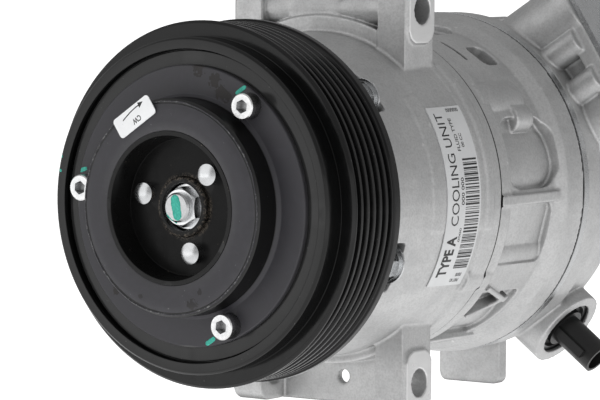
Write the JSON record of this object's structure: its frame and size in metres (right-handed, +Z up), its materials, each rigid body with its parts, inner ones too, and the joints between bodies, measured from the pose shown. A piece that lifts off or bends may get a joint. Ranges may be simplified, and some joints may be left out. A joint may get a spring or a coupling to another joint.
{
  "type": "automotive ac compressor",
  "caption": "Belt-driven swash-plate air-conditioning compressor with damped grooved pulley, ribbed aluminium casing, four mounting ears, side ports and control valve.",
  "frame": {"origin": "on the shaft axis, in the middle plane of the six belt grooves", "axes": "+Y along the shaft from the pulley towards the rear head, +Z up through the upper ears, +X towards the side with the ports and the control valve"},
  "size_m": [0.1375, 0.2089, 0.1488],
  "materials": {
    "cast_aluminium": "as die-cast, fine grain",
    "pulley_black": "satin black paint",
    "hub_black": "matte black coating",
    "damper_rubber": "moulded, matte",
    "seal_rubber": "matte",
    "zinc_steel": "bright zinc plating",
    "machined_steel": "ground",
    "bearing_steel": "ground",
    "spring_steel": "black oxide",
    "piston_aluminium": "turned, coated",
    "gasket": "coated steel gasket",
    "brass": "turned",
    "connector_plastic": "moulded",
    "cage_plastic": "moulded",
    "label_white": "printed film"
  },
  "bodies": {
    "casing": {"bearing_inner_ring": "bearing_steel", "bearing_snap_ring": "spring_steel", "block_gasket": "gasket", "bolt_washers": "zinc_steel", "check_valve_seat": "brass", "check_valve_spring": "spring_steel", "connector_pins": "brass", "control_valve": "brass", "control_valve_circlip": "spring_steel", "control_valve_o_rings": "seal_rubber", "cylinder_block": "cast_aluminium", "discharge_reed": "spring_steel", "front_housing": "cast_aluminium", "front_needle_bearing": "bearing_steel", "head_gasket": "gasket", "piston_1": "piston_aluminium", "piston_2": "piston_aluminium", "piston_3": "piston_aluminium", "piston_4": "piston_aluminium", "piston_5": "piston_aluminium", "piston_shoes": "machined_steel", "port_cover": "zinc_steel", "port_cover_bolt": "zinc_steel", "port_seals": "seal_rubber", "rear_head": "cast_aluminium", "rear_needle_bearing": "bearing_steel", "reed_retainer": "machined_steel", "relief_valve": "brass", "retainer_rivet": "machined_steel", "shaft_seal": "seal_rubber", "shaft_seal_clip": "spring_steel", "suction_reed": "spring_steel", "through_bolts": "zinc_steel", "thrust_race_front": "bearing_steel", "type_label": "label_white", "valve_connector": "connector_plastic", "valve_plate": "machined_steel"},
    "rotor": {"pulley": "pulley_black", "bearing_outer_ring": "bearing_steel", "bearing_seals": "seal_rubber", "drive_plate": "hub_black", "damper_rubber": "damper_rubber", "inner_cup": "hub_black", "hub_boss": "hub_black", "hub_rivets": "zinc_steel", "drive_screws": "zinc_steel", "hub_nut": "zinc_steel", "direction_label": "label_white", "shaft": "machined_steel", "lug_plate": "machined_steel", "swash_plate": "machined_steel", "hinge_pin": "machined_steel", "return_spring": "spring_steel", "shaft_stop_ring": "machined_steel", "thrust_race_rear": "bearing_steel"},
    "bearing_cage_set": {"bearing_balls": "bearing_steel", "bearing_cage": "cage_plastic"},
    "thrust_cage_set": {"thrust_bearing": "bearing_steel"},
    "valve_plunger": {"control_valve_plunger": "machined_steel"},
    "check_poppet": {"check_valve_poppet": "brass"}
  },
  "joints": [
    {"name": "pulley_spin", "type": "hinge", "parent": "casing", "child": "rotor", "pos_m": [0, 0, 0], "axis": [0, 1, 0], "continuous": true},
    {"name": "bearing_cage_spin", "type": "hinge", "parent": "casing", "child": "bearing_cage_set", "pos_m": [0, 0, 0], "axis": [0, 1, 0], "continuous": true},
    {"name": "thrust_cage_spin", "type": "hinge", "parent": "casing", "child": "thrust_cage_set", "pos_m": [0, 0, 0], "axis": [0, 1, 0], "continuous": true},
    {"name": "control_valve_stroke", "type": "slide", "parent": "casing", "child": "valve_plunger", "axis": [0.7986, 0, -0.6018], "range_m": [0, 0.0015], "stiffness_N_per_m": 500, "springref_m": -0.001},
    {"name": "check_valve_lift", "type": "slide", "parent": "casing", "child": "check_poppet", "axis": [-0.8411, 0, -0.5408], "range_m": [0, 0.0025], "stiffness_N_per_m": 300, "springref_m": -0.002, "deforming": ["check_valve_spring"]}
  ],
  "couplings": [
    {"joint": "bearing_cage_spin", "follows": "pulley_spin", "ratio": 0.5667},
    {"joint": "thrust_cage_spin", "follows": "pulley_spin", "ratio": 0.5}
  ]
}
